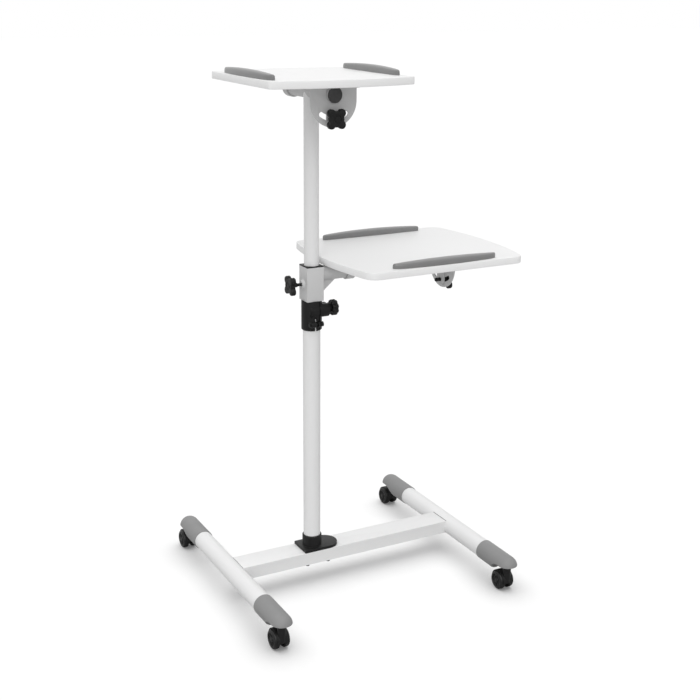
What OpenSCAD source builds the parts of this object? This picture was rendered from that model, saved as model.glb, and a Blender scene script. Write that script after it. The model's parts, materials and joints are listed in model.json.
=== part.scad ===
// Two-shelf AV trolley: an H-shaped base on four twin-wheel casters, a telescoping
// column, a tilting top shelf on the mast and a tilting side shelf on a sliding sleeve.
// X runs along the crossbar, Y from front to back and Z up. Sizes are in millimetres.

/* [Base] */
// Distance between the axes of the two foot tubes
foot_span = 662; // [560:1:800]
// Outer diameter of a foot tube
foot_d = 50; // [44:1:56]
// Length of a foot tube
foot_len = 508; // [440:1:600]
// Width of the crossbar, front to back
bar_w = 70; // [60:1:84]
// Height of the crossbar
bar_h = 35; // [30:1:40]
// Height of the crossbar's top above the axes of the foot tubes
bar_rise = 18; // [14:0.5:19]
// Wall of the foot tubes and of the crossbar
base_wall = 1.5; // [1.2:0.1:2.5]

/* [Foot caps] */
// Outer diameter of a cap
cap_d = 54; // [54:0.5:60]
// How far a cap covers the foot tube
cap_grip = 52; // [35:1:70]
// How far the full collar runs past the end of the tube
cap_end = 4; // [3:0.5:8]
// How far the hood reaches past the caster's stem
hood_reach = 27; // [24:1:34]
// Height of the hood's underside above the foot tube's axis
hood_rise = 3; // [2:0.5:6]
// Radius of the concave cut between collar and hood
hood_cut_r = 42; // [38:1:42]

/* [Casters] */
// Wheel diameter
wheel_d = 50; // [40:1:54]
// Width of one wheel
wheel_w = 15; // [12:0.5:18]
// Distance from the end of the foot tube to the caster's stem
stem_out = 55; // [53:1:66]
// How much of a wheel's width the caster's hood covers
hood_cover = 9; // [6:0.5:11]
// Distance of the wheel axle behind the stem
trail = 18; // [14:0.5:20]
// Height of the caster's neck above the wheel
neck_h = 25; // [22:0.5:30]
// Thickness of the web between the wheels
web_w = 10; // [8:0.5:14]
// Diameter of the caster's stem pin
stem_d = 8; // [6:0.5:11]
// Diameter of the wheel axle
axle_d = 6; // [5:0.5:8]

/* [Column] */
// Distance of the column from the middle of the crossbar
col_offset = 96; // [60:1:140]
// Outer diameter of the lower tube
lower_d = 45; // [44.5:0.5:48]
// Wall of the lower tube and of the mast
col_wall = 1.5; // [1.2:0.1:1.8]
// Length of the lower tube
lower_len = 649; // [500:1:800]
// Outer diameter of the mast
mast_d = 38; // [36:0.5:38.5]
// Length of the mast
mast_len = 800; // [760:1:900]
// Length of mast that stands out of the clamp at rest
mast_out = 504; // [480:1:560]
// Thickness of the flange plate on the crossbar
flange_t = 8; // [6:0.5:12]
// Height of the flange's collar
flange_h = 39; // [25:1:50]
// Distance between the flange's screws along the crossbar
flange_pitch = 62; // [50:1:66]

/* [Clamp] */
// Outer diameter of the clamp's body
clamp_d = 53; // [52:0.5:58]
// Height of the clamp's body
clamp_h = 77; // [70:1:90]
// How far the lower tube goes into the clamp
clamp_grip = 35; // [28:1:37]
// Height of the knob's boss
boss_h = 33.5; // [30:0.5:38]
// Width of the slit in the clamp's collar
slit_w = 5; // [3:0.5:7]
// Reach of the boss from the column's axis
boss_reach = 40.5; // [38:0.5:60]
// Diameter of the clamp knob
clamp_knob_d = 41; // [38:1:46]

/* [Top shelf] */
// Width of the top shelf, left to right
top_w = 380; // [340:1:440]
// Depth of the top shelf at its middle
top_depth = 398; // [360:1:440]
// Bulge of the top shelf's front and back edges
top_bow = 26; // [10:1:32]
// Corner radius of the top shelf
top_corner = 12; // [5:1:30]

/* [Side shelf] */
// Width of the side shelf at its middle, left to right
side_w = 498; // [460:1:540]
// Depth of the side shelf, front to back
side_depth = 428; // [380:1:460]
// Bulge of the side shelf's left and right edges
side_bow = 27; // [10:1:32]
// Corner radius of the side shelf
side_corner = 30; // [15:1:40]
// Distance from the column's axis to the middle of the side shelf
side_reach = 278; // [276:1:320]

/* [Boards and stops] */
// Thickness of both boards
board_t = 18; // [15:0.5:22]
// Height of a stop at its middle
stop_h = 17; // [12.5:0.5:22]
// Height of a stop at its ends
stop_end_h = 12; // [8:0.5:12]
// Width of a stop at its middle
stop_w = 28; // [22:0.5:36]
// Bulge of a stop's outer edge
stop_bow_out = 9; // [4:0.5:14]
// Bulge of a stop's inner edge
stop_bow_in = 1.5; // [1:0.5:6]
// Length of the top shelf's stops
top_stop_len = 277; // [200:1:300]
// Distance of the left stop behind the middle of the top shelf
left_stop_shift = -13; // [-20:1:20]
// Distance of the right stop behind the middle of the top shelf
right_stop_shift = 10; // [-20:1:20]
// Length of the side shelf's stops
side_stop_len = 300; // [200:1:340]
// Distance of a top stop's middle from the edge of the board
top_stop_inset = 2; // [1:0.5:10]
// Distance of a side stop's middle from the edge of the board
side_stop_inset = 5; // [1:0.5:12]

/* [Tilt brackets] */
// Outer diameter of the two pivot tubes
pivot_d = 38; // [34:0.5:40]
// Distance of the pivot axis below the board
pivot_drop = 22; // [21:0.5:26]
// Radius of the rounded bracket plate
plate_r = 61; // [58:0.5:64]
// Distance of the plate's round centre below the pivot axis
plate_low = 15; // [13:0.5:22]
// Thickness of the bracket's sheet
plate_t = 3; // [2:0.5:4]
// Radius of the arc slot about the pivot axis
slot_r = 55; // [53:0.5:56]
// Width of the arc slot
slot_w = 12; // [11:0.5:13]
// Half of the slot's angle
slot_half = 36; // [25:1:38]
// Width of the fixed lug that carries the tilt bolt
lug_w = 34; // [28:1:40]
// Diameter of the tilt bolts
bolt_d = 10; // [8:0.5:10]
// Diameter of the four-lobed tilt knobs
tilt_knob_d = 58; // [50:1:60]
// Distance from the column's axis to the top shelf's bracket plate
top_plate_reach = 115.5; // [100:0.5:130]
// Distance from the column's axis to the top shelf's saddle
top_saddle_reach = 106; // [90:1:120]
// Distance from the column's axis to the side shelf's bracket plate
side_plate_x = 390; // [370:1:410]
// Distance from the column's axis to the side shelf's saddle
side_saddle_x = 105; // [90:1:120]

/* [Sleeve] */
// Side of the square sleeve
sleeve_w = 46.5; // [45:0.5:52]
// Height of the sleeve
sleeve_h = 88; // [84:1:110]
// Wall of the sleeve
sleeve_wall = 1.5; // [1.2:0.1:1.5]
// Height of the arm's axis above the bottom of the sleeve
arm_rise = 67; // [64:0.5:68]
// Height of the sleeve's knob above the bottom of the sleeve
sleeve_knob_rise = 43; // [38:1:44]
// Diameter of the sleeve's four-lobed knob
sleeve_knob_d = 57; // [46:1:60]
// Reach of the gusset from the column's axis
gusset_reach = 66; // [56:1:80]

/* [Hidden] */
$fn = 64;
fit = 0.1;          // gap between pieces fixed to each other
run = 0.3;          // gap between pieces that move past each other
wheel_run = 1.2;    // gap between a wheel and its hood

foot_x = foot_span / 2;
foot_z = wheel_d + neck_h - hood_rise;
bar_top = foot_z + bar_rise;
bar_low = bar_top - bar_h;
col_x = -col_offset;

stem_y = foot_len / 2 + stem_out;
nose_y = stem_y + hood_reach - cap_d / 2;
hood_z = foot_z + hood_rise;
hood_r = wheel_d / 2 + wheel_run + 1.8;
hood_w = web_w + 2 * (wheel_run + hood_cover);

flange_left = foot_d / 2 + 11;
flange_round_x = 37;
bolt_low_h = 5;

clamp_low = bar_top + lower_len - clamp_grip;
clamp_top = clamp_low + clamp_h;
boss_z = clamp_low + 50;
ear_z = clamp_low + 19.5;
slit_x = -0.5;
groove_x = 7.5;
groove_w = 5;
boss_back = 16;
knob_neck = 12;
clamp_knob_t = 18;
mast_low = clamp_top + mast_out - mast_len;
bush_h = 40;

top_pivot_z = clamp_top + mast_out + pivot_d / 2;
top_under = top_pivot_z + pivot_drop;
saddle_w = 22;
saddle_t = 4;
top_plate_y = -top_plate_reach;
top_tube_end = top_saddle_reach + saddle_w / 2;

sleeve_low = clamp_top + run;
sleeve_top = sleeve_low + sleeve_h;
arm_z = sleeve_low + arm_rise;
side_under = arm_z + pivot_drop;
side_x = col_x + side_reach;
rim_h = 3;
liner_h = 20;
foot_plate_w = 26;
shoulder = 8;
lug_t = 4;
tube_out = 6;
nut_rise = 6;
knob_t = 13;

// The part's origin is the middle of its footprint on the floor.
box_left = -foot_x - cap_d / 2;
box_right = side_x + side_w / 2;
box_back = stem_y + max(hood_reach, trail + hood_r);
box_front = -stem_y - hood_reach;
origin_x = (box_left + box_right) / 2;
origin_y = (box_front + box_back) / 2;

white = [0.93, 0.93, 0.93];
grey = [0.57, 0.57, 0.57];
black = [0.14, 0.14, 0.15];
steel = [0.7, 0.7, 0.72];

// Radius of an arc that rises by rise over half its chord
function arc_radius(half, rise) = (half * half + rise * rise) / (2 * rise);

// Cylinders along X and Y, from a to b
module rod_x(d, a, b) { translate([a, 0, 0]) rotate([0, 90, 0]) cylinder(h = b - a, d = d); }
module rod_y(d, a, b) { translate([0, a, 0]) rotate([-90, 0, 0]) cylinder(h = b - a, d = d); }
module pipe(d, wall, h) {
    difference() {
        cylinder(h = h, d = d);
        translate([0, 0, -1]) cylinder(h = h + 2, d = d - 2 * wall);
    }
}
module box(a, b) { translate(a) cube(b - a); }

// Base
module crossbar() {
    color(white) difference() {
        box([-foot_x, -bar_w / 2, bar_low], [foot_x, bar_w / 2, bar_top]);
        box([-foot_x - 1, -bar_w / 2 + base_wall, bar_low + base_wall],
            [foot_x + 1, bar_w / 2 - base_wall, bar_top - base_wall]);
        for (side = [-1, 1])
            translate([side * foot_x, 0, foot_z]) rod_y(foot_d + 2 * fit, -bar_w, bar_w);
        flange_screw_places() translate([0, 0, bar_low - 1]) cylinder(h = bar_h + 2, d = bolt_d - 3);
    }
}

module foot_tube(side) {
    color(white) translate([side * foot_x, 0, foot_z]) difference() {
        rod_y(foot_d, -foot_len / 2, foot_len / 2);
        rod_y(foot_d - 2 * base_wall, -foot_len / 2 - 1, foot_len / 2 + 1);
    }
}

// Places a child at one corner, turned so that +Y points away from the crossbar
module corner(side, end) {
    translate([side * foot_x, 0, 0]) if (end > 0) children();
    else mirror([0, 1, 0]) children();
}

module foot_cap(side, end) {
    low_y = foot_len / 2 + cap_end;
    cut_y = low_y + hood_cut_r;
    color(grey) corner(side, end) difference() {
        translate([0, 0, foot_z]) {
            rod_y(cap_d, foot_len / 2 - cap_grip, nose_y);
            translate([0, nose_y, 0]) sphere(d = cap_d);
        }
        translate([0, 0, foot_z]) rod_y(foot_d + 2 * fit, 0, foot_len / 2 + fit);
        translate([0, cut_y, hood_z - hood_cut_r]) rod_x(2 * hood_cut_r, -cap_d, cap_d);
        box([-cap_d, cut_y, 0], [cap_d, nose_y + cap_d, hood_z]);
        box([-cap_d, low_y, 0], [cap_d, nose_y + cap_d, hood_z - hood_cut_r]);
        translate([0, stem_y, hood_z - 1]) cylinder(h = 17, d = stem_d + 2 * run);
    }
}

// A twin-wheel caster, whose axle lies behind its stem in the photographed position
module caster(side, end) {
    axle_y = end * stem_y + trail;
    axle_z = wheel_d / 2;
    color(black) translate([side * foot_x, 0, 0]) difference() {
        union() {
            translate([0, end * stem_y, axle_z]) cylinder(h = hood_z - axle_z - run, d = 22);
            translate([0, end * stem_y, hood_z - 2]) cylinder(h = 17, d = stem_d);
            translate([0, axle_y, axle_z]) intersection() {
                rod_x(2 * hood_r, -hood_w / 2, hood_w / 2);
                box([-hood_w, -2 * hood_r, -2], [hood_w, 2 * hood_r, 2 * hood_r]);
            }
            translate([0, axle_y, axle_z]) rod_x(wheel_d * 0.7, -web_w / 2, web_w / 2);
        }
        for (face = [-1, 1]) {
            wheel_in = face * web_w / 2;
            translate([0, axle_y, axle_z])
                rod_x(wheel_d + 2 * wheel_run, min(wheel_in, face * wheel_d), max(wheel_in, face * wheel_d));
        }
        translate([0, axle_y, axle_z]) rod_x(axle_d + 2 * run, -wheel_d, wheel_d);
    }
}

module wheels(side, end) {
    inner = web_w / 2 + wheel_run;
    color(black) translate([side * foot_x, end * stem_y + trail, wheel_d / 2]) {
        rod_x(axle_d, -inner - 1, inner + 1);
        for (face = [-1, 1]) rotate([0, face * 90, 0]) translate([0, 0, inner]) rotate_extrude()
            polygon([[0, 0], [wheel_d / 2 - 2, 0], [wheel_d / 2, 2], [wheel_d / 2, wheel_w - 6],
                [wheel_d / 2 - 0.7, wheel_w - 3.6], [wheel_d / 2 - 2.3, wheel_w - 1.6],
                [wheel_d / 2 - 4.6, wheel_w - 0.4], [wheel_d / 2 - 7, wheel_w],
                [wheel_d / 2 - 9, wheel_w - 2], [6, wheel_w - 2], [5, wheel_w - 0.5], [0, wheel_w - 0.5]]);
    }
}

// Column
module flange_screw_places() {
    for (sx = [-1, 1]) for (sy = [-1, 1])
        translate([col_x + 6 + sx * flange_pitch / 2, sy * (bar_w / 2 - 12), 0]) children();
}

module column_flange() {
    color(black) difference() {
        union() {
            translate([col_x, 0, bar_top]) {
                box([-flange_left, -bar_w / 2, 0], [flange_round_x, bar_w / 2, flange_t]);
                translate([flange_round_x, 0, 0]) cylinder(h = flange_t, d = bar_w);
                cylinder(h = flange_h - 2, d = lower_d + 7);
                translate([0, 0, flange_h - 2]) cylinder(h = 2, d1 = lower_d + 7, d2 = lower_d + 3);
            }
        }
        translate([col_x, 0, bar_top - 1]) cylinder(h = flange_h + 2, d = lower_d + 2 * fit);
        flange_screw_places() translate([0, 0, bar_top - 1]) cylinder(h = flange_t - 1, d = bolt_d - 3);
    }
}

module flange_screws() {
    color(steel) flange_screw_places() {
        translate([0, 0, bar_low - bolt_low_h]) cylinder(h = bolt_low_h - fit, d = 14);
        translate([0, 0, bar_low - 1]) cylinder(h = bar_h + flange_t - 2, d = bolt_d - 3.2);
    }
}

module lower_column() {
    color(white) translate([col_x, 0, bar_top + fit]) pipe(lower_d, col_wall, lower_len - fit);
}

// The block that carries the clamp knob, from a to b along X and smaller by inset all round
module clamp_boss(a, b, inset) {
    low = -clamp_d / 2 - 1 + inset;
    high = boss_h / 2 - inset;
    round_r = boss_h / 2 - 3 - max(inset, 0);
    translate([a, 0, boss_z]) rotate([90, 0, 90]) linear_extrude(b - a) union() {
        translate([low + round_r, -high]) square([high - low - 2 * round_r, 2 * high]);
        translate([low, round_r - high]) square([high - low, 2 * (high - round_r)]);
        for (x = [low + round_r, high - round_r]) for (y = [round_r - high, high - round_r])
            translate([x, y]) circle(r = round_r);
    }
}

module column_clamp() {
    color(black) translate([col_x, 0, 0]) difference() {
        union() {
            translate([0, 0, clamp_low]) cylinder(h = 2, d1 = clamp_d - 4, d2 = clamp_d);
            translate([0, 0, clamp_low + 2]) cylinder(h = clamp_h - 2, d = clamp_d);
            clamp_boss(2 - boss_back, boss_reach - 2, 0);
            clamp_boss(-boss_back, boss_reach, 2);
            translate([0, -clamp_d / 2 - 5, ear_z]) rod_x(15, slit_x - 18, slit_x + 10);
            box([slit_x - 18, -clamp_d / 2 - 5, ear_z - 7.5], [slit_x + 10, 0, ear_z + 7.5]);
        }
        difference() {
            clamp_boss(groove_x, groove_x + groove_w, -clamp_d);
            clamp_boss(groove_x - 1, groove_x + groove_w + 1, 2);
            cylinder(h = 2 * clamp_top, d = clamp_d - 3);
        }
        translate([0, 0, clamp_low - 1]) cylinder(h = clamp_grip + 1 + fit, d = lower_d + 2 * fit);
        translate([0, 0, clamp_low]) cylinder(h = clamp_h + 1, d = mast_d + 2 * run);
        box([slit_x - slit_w / 2, -clamp_d, clamp_low - 1], [slit_x + slit_w / 2, 0, clamp_low + clamp_grip - 2]);
        translate([0, 0, boss_z]) rod_x(bolt_d - 2 + 2 * run, 0, boss_reach + 1);
        translate([0, -clamp_d / 2 - 5, ear_z]) rod_x(5 + 2 * fit, -25, 20);
    }
}

module clamp_screw() {
    color(black) translate([col_x, -clamp_d / 2 - 5, ear_z]) {
        rod_x(5, slit_x - 19, slit_x + 11);
        rod_x(13, slit_x + 10 + fit, slit_x + 17);
        rod_x(9, slit_x - 22, slit_x - 18 - fit);
    }
}

module clamp_knob() {
    tip = mast_d / 2 + run;
    head = boss_reach + knob_neck;
    color(black) translate([col_x, 0, boss_z]) difference() {
        union() {
            rod_x(bolt_d - 2, tip, head);
            rod_x(22, boss_reach + run, head + 1);
            rod_x(clamp_knob_d, head, head + clamp_knob_t);
        }
        for (i = [0:7]) rotate([i * 45, 0, 0]) translate([0, clamp_knob_d / 2 + 2.5, 0])
            rod_x(10, head - 1, head + clamp_knob_t + 1);
    }
}

// Mast
module mast_bush() {
    color(black) translate([col_x, 0, mast_low - rim_h - run]) difference() {
        cylinder(h = bush_h, d = lower_d - 2 * col_wall - 2 * run);
        translate([0, 0, rim_h]) cylinder(h = bush_h, d = mast_d + 2 * run);
        translate([0, 0, -1]) cylinder(h = bush_h, d = mast_d - 8);
    }
}

module mast() {
    color(white) difference() {
        translate([col_x, 0, mast_low]) pipe(mast_d, col_wall, top_pivot_z - mast_low);
        translate([col_x, 0, top_pivot_z]) rod_y(pivot_d + 2 * fit, -mast_d, mast_d);
    }
}

// Tilt bracket, drawn for a pivot along +Y at the origin with the plate's outer face at -Y
function arc_points(r, a, b, n) = [for (i = [0:n]) let (t = a + (b - a) * i / n) [r * sin(t), -r * cos(t)]];

module plate_outline() {
    difference() {
        union() {
            intersection() {
                translate([0, -plate_low]) circle(r = plate_r);
                translate([-plate_r, -plate_r - plate_low]) square([2 * plate_r, plate_r + plate_low]);
            }
            translate([-plate_r, -plate_low]) square([2 * plate_r, plate_low + pivot_drop]);
            translate([-plate_r - shoulder, pivot_drop - shoulder]) square([2 * (plate_r + shoulder), shoulder]);
        }
        polygon(concat(arc_points(slot_r + slot_w / 2, -slot_half, slot_half, 24),
            arc_points(slot_r - slot_w / 2, slot_half, -slot_half, 24)));
        for (side = [-1, 1]) translate([side * slot_r * sin(slot_half), -slot_r * cos(slot_half)])
            circle(d = slot_w);
    }
}

module bracket() {
    difference() {
        union() {
            rotate([90, 0, 0]) linear_extrude(plate_t) plate_outline();
            box([-plate_r - shoulder, -plate_t, pivot_drop - plate_t],
                [plate_r + shoulder, foot_plate_w, pivot_drop]);
        }
        rod_y(pivot_d + 2 * run, -plate_t - 1, 1);
    }
}

// The fixed lug that hangs from the pivot tube and holds the tilt bolt
module lug() {
    difference() {
        union() {
            rod_y(lug_w, 0, lug_t);
            box([-lug_w / 2, 0, -slot_r], [lug_w / 2, lug_t, 0]);
            translate([0, 0, -slot_r]) rod_y(lug_w, 0, lug_t);
        }
        rod_y(pivot_d + 2 * fit, -1, lug_t + 1);
        translate([0, 0, -slot_r]) rod_y(bolt_d + 2 * run, -1, lug_t + 1);
    }
}

// A head with four lobes that faces -Y, with the first lobe turned by turn
module lobed_head(d, turn) {
    lobe_d = 0.34 * d;
    rotate([90, 0, 0]) linear_extrude(knob_t) union() {
        circle(d = 0.66 * d);
        for (i = [0:3]) rotate(turn + 90 * i) translate([(d - lobe_d) / 2, 0]) circle(d = lobe_d);
    }
}

module tilt_knob(turn) {
    neck = 11;
    translate([0, 0, -slot_r]) {
        rod_y(bolt_d, -neck - 1, 20);
        rod_y(20, -neck - 1, -plate_t - run);
        translate([0, -neck, 0]) lobed_head(tilt_knob_d, turn);
    }
}

module saddle() {
    difference() {
        union() {
            rod_y(pivot_d + 2 * saddle_t, 0, saddle_w);
            box([-pivot_d / 2 - 14, 0, pivot_drop - plate_t], [pivot_d / 2 + 14, saddle_w, pivot_drop]);
        }
        rod_y(pivot_d + 2 * run, -1, saddle_w + 1);
        box([-pivot_d, -1, pivot_drop], [pivot_d, saddle_w + 1, pivot_drop + pivot_d]);
    }
}

// Frames for the two pivots
module at_top() { translate([col_x, 0, top_pivot_z]) children(); }
module at_side() { translate([col_x, 0, arm_z]) rotate([0, 0, 90]) children(); }

// Top shelf
module top_pivot_tube() {
    color(white) at_top() difference() {
        rod_y(pivot_d, top_plate_y - plate_t - tube_out, top_tube_end);
        rod_y(pivot_d - 2 * col_wall, top_plate_y - pivot_d, top_tube_end + pivot_d);
    }
}

module tube_plug() {
    rod_y(pivot_d - 2 * col_wall - 2 * fit, 0, 14);
    rod_y(pivot_d, -2, 0);
}

module top_tube_plugs() {
    color(black) at_top() {
        translate([0, top_plate_y - plate_t - tube_out - fit, 0]) tube_plug();
        translate([0, top_tube_end + fit, 0]) mirror([0, 1, 0]) tube_plug();
    }
}

module top_lug() { color(white) at_top() translate([0, top_plate_y + run, 0]) lug(); }
module top_knob() { color(black) at_top() translate([0, top_plate_y, 0]) tilt_knob(45); }
module top_bracket() { color(white) at_top() translate([0, top_plate_y, 0]) bracket(); }
module top_saddle() {
    color(white) at_top() translate([0, top_saddle_reach - saddle_w / 2, 0]) saddle();
}

// A board whose front and back edges bulge by bow, with round corners
module board_outline(w, depth, bow, corner) {
    r = arc_radius(w / 2, bow);
    cy = depth / 2 - r;
    cx = w / 2 - corner;
    cc = cy + sqrt(pow(r - corner, 2) - cx * cx);
    union() {
        for (side = [-1, 1]) translate([side * cx, 0]) for (end = [-1, 1])
            translate([0, end * cc]) circle(r = corner);
        square([w, 2 * cc], center = true);
        intersection() {
            translate([0, cy]) circle(r = r, $fn = 256);
            translate([0, -cy]) circle(r = r, $fn = 256);
            edge_x = cx * r / (r - corner);
            square([2 * edge_x, depth + 2], center = true);
        }
    }
}

module top_shelf() {
    color(white) translate([col_x, 0, top_under + fit]) linear_extrude(board_t)
        board_outline(top_w, top_depth, top_bow, top_corner);
}

// A stop along Y, whose outer edge faces -X: both edges, the crest and the section are arcs
module stop(len) {
    out_r = arc_radius(len / 2, stop_bow_out);
    in_r = arc_radius(len / 2, stop_bow_in);
    crest_r = arc_radius(len / 2, stop_h - stop_end_h);
    dome_r = arc_radius(stop_w / 2, stop_h / 3);
    intersection() {
        linear_extrude(stop_h) intersection() {
            translate([out_r, 0]) circle(r = out_r, $fn = 512);
            translate([stop_w - in_r, 0]) circle(r = in_r, $fn = 768);
            translate([-stop_w, -len / 2]) square([3 * stop_w, len]);
        }
        translate([0, 0, stop_h - crest_r]) rod_x(2 * crest_r, -1, stop_w + 1, $fn = 768);
        translate([stop_w / 2, 0, stop_h - dome_r]) rod_y(2 * dome_r, -len / 2 - 1, len / 2 + 1, $fn = 96);
    }
}

module top_stop(side) {
    shift = side < 0 ? left_stop_shift : right_stop_shift;
    color(grey) translate([col_x + side * (top_w / 2 - top_stop_inset), shift, top_under + board_t + 2 * fit])
        if (side < 0) stop(top_stop_len);
        else mirror([1, 0, 0]) stop(top_stop_len);
}

// Sleeve and side shelf
module sleeve_bush() {
    color(black) translate([col_x, 0, sleeve_top + fit]) difference() {
        linear_extrude(rim_h) square(sleeve_w, center = true);
        translate([0, 0, -1]) cylinder(h = rim_h + 2, d = mast_d + 2 * run);
    }
}

// The round lining on which the sleeve turns
module sleeve_liner() {
    color(black) translate([col_x, 0, sleeve_top - run - liner_h]) difference() {
        cylinder(h = liner_h, d = sleeve_w - 2 * sleeve_wall - 2 * run);
        translate([0, 0, -1]) cylinder(h = liner_h + 2, d = mast_d + 2 * run);
    }
}

// The plate that is welded to the sleeve under the arm
module gusset() {
    face = sleeve_w / 2 - 1;
    low = arm_rise - pivot_d / 2;
    difference() {
        rotate([90, 0, 0]) linear_extrude(plate_t, center = true)
            polygon([[face, 10], [sleeve_w / 2, 11], [gusset_reach, low], [gusset_reach, low + 2], [face, low + 2]]);
        translate([0, 0, arm_rise]) rod_x(pivot_d + 2 * fit, sleeve_w / 2, gusset_reach * 2);
    }
}

module sleeve() {
    color(white) translate([col_x, 0, sleeve_low]) difference() {
        union() {
            linear_extrude(sleeve_h) square(sleeve_w, center = true);
            translate([-sleeve_w / 2 - nut_rise, 0, sleeve_knob_rise]) rotate([0, 90, 0])
                cylinder(h = nut_rise + 1, d1 = 17, d2 = 27);
            gusset();
        }
        translate([0, 0, -1]) linear_extrude(sleeve_h + 2) square(sleeve_w - 2 * sleeve_wall, center = true);
        translate([0, 0, sleeve_knob_rise]) rod_x(bolt_d - 2 + 2 * run, -sleeve_w, 0);
    }
}

module sleeve_knob() {
    face = sleeve_w / 2;
    color(black) translate([col_x, 0, sleeve_low + sleeve_knob_rise]) rotate([0, 0, -90]) {
        rod_y(bolt_d - 2, -face - 31, -mast_d / 2 - run);
        rod_y(13, -face - nut_rise - run - 5, -face - nut_rise - run);
        translate([0, -face - 30, 0]) lobed_head(sleeve_knob_d, 45);
    }
}

module side_arm() {
    color(white) at_side() difference() {
        rod_y(pivot_d, -side_plate_x - plate_t - tube_out, -sleeve_w / 2 - fit);
        rod_y(pivot_d - 2 * col_wall, -side_plate_x - plate_t - tube_out - 1, 0);
    }
}

module arm_plug() {
    color(black) at_side() translate([0, -side_plate_x - plate_t - tube_out - fit, 0]) tube_plug();
}
module side_lug() { color(white) at_side() translate([0, -side_plate_x + run, 0]) lug(); }
module side_knob() { color(black) at_side() translate([0, -side_plate_x, 0]) tilt_knob(55); }
module side_bracket() { color(white) at_side() translate([0, -side_plate_x, 0]) bracket(); }
module side_saddle() { color(white) at_side() translate([0, -side_saddle_x - saddle_w / 2, 0]) saddle(); }

module side_shelf() {
    color(white) translate([side_x, 0, side_under + fit]) rotate([0, 0, 90]) linear_extrude(board_t)
        board_outline(side_depth, side_w, side_bow, side_corner);
}

module side_stop(end) {
    color(grey) translate([side_x, end * (side_depth / 2 - side_stop_inset), side_under + board_t + 2 * fit])
        rotate([0, 0, -end * 90]) stop(side_stop_len);
}

module placed() { translate([-origin_x, -origin_y, 0]) children(); }

placed() crossbar();
placed() foot_tube(-1);  // left_foot_tube
placed() foot_tube(1);  // right_foot_tube
placed() foot_cap(-1, -1);  // front_left_cap
placed() foot_cap(1, -1);  // front_right_cap
placed() foot_cap(-1, 1);  // back_left_cap
placed() foot_cap(1, 1);  // back_right_cap
placed() caster(-1, -1);  // front_left_caster
placed() caster(1, -1);  // front_right_caster
placed() caster(-1, 1);  // back_left_caster
placed() caster(1, 1);  // back_right_caster
placed() wheels(-1, -1);  // front_left_wheels
placed() wheels(1, -1);  // front_right_wheels
placed() wheels(-1, 1);  // back_left_wheels
placed() wheels(1, 1);  // back_right_wheels
placed() column_flange();
placed() flange_screws();
placed() lower_column();
placed() column_clamp();
placed() clamp_screw();
placed() clamp_knob();
placed() mast_bush();
placed() mast();
placed() top_pivot_tube();
placed() top_tube_plugs();
placed() top_lug();
placed() top_knob();
placed() top_bracket();
placed() top_saddle();
placed() top_shelf();
placed() top_stop(-1);  // top_left_stop
placed() top_stop(1);  // top_right_stop
placed() sleeve_liner();
placed() sleeve_bush();
placed() sleeve();
placed() side_arm();
placed() arm_plug();
placed() side_lug();
placed() side_knob();
placed() sleeve_knob();
placed() side_bracket();
placed() side_saddle();
placed() side_shelf();
placed() side_stop(-1);  // side_front_stop
placed() side_stop(1);  // side_back_stop
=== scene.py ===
import bpy
import bmesh
import json
import math
from mathutils import Matrix, Vector

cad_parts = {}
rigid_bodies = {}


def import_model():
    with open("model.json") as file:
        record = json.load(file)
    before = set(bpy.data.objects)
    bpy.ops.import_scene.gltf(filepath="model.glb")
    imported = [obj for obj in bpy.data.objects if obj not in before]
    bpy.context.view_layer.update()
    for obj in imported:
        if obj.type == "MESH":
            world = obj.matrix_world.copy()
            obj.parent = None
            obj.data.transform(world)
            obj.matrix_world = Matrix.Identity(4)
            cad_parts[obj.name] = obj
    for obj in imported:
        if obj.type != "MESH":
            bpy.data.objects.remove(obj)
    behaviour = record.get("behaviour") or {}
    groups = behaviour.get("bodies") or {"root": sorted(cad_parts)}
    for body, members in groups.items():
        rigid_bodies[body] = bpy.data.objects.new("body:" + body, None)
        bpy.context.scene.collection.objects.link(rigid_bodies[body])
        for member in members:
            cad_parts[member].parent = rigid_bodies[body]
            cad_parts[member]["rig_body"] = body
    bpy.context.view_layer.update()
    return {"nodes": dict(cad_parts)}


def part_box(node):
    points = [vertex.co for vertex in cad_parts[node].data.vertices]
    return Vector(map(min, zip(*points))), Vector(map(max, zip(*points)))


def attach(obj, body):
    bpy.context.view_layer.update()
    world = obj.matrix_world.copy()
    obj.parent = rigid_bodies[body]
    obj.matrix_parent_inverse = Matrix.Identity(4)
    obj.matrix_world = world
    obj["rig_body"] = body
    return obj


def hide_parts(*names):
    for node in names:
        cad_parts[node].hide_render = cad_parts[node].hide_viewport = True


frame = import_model()
print("frame loaded:", len(frame["nodes"]), "nodes")


# camera at the place from which the trolley was taken
photoView = {
    "place": (-1.4476, -2.6651, 1.5613),
    "yaw": 28.26,
    "pitch": 17.14,
    "roll": 0.47,
    "lens": 61.76,
    "sensor": 36.0,
}


def makeCamera(view):
    yaw, pitch, roll = (math.radians(view[k]) for k in ("yaw", "pitch", "roll"))
    flat = math.cos(pitch)
    ahead = Vector((math.sin(yaw) * flat, math.cos(yaw) * flat, -math.sin(pitch)))
    level = Vector((math.cos(yaw), -math.sin(yaw), 0))
    upright = level.cross(ahead)
    right = level * math.cos(roll) + upright * math.sin(roll)
    up = upright * math.cos(roll) - level * math.sin(roll)
    lens = bpy.data.cameras.new("photoCamera")
    lens.lens, lens.sensor_width = view["lens"], view["sensor"]
    camera = bpy.data.objects.new("photoCamera", lens)
    bpy.context.scene.collection.objects.link(camera)
    turned = Matrix((right, up, -ahead)).transposed().to_4x4()
    turned.translation = view["place"]
    camera.matrix_world = turned
    bpy.context.scene.camera = camera


makeCamera(photoView)

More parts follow.
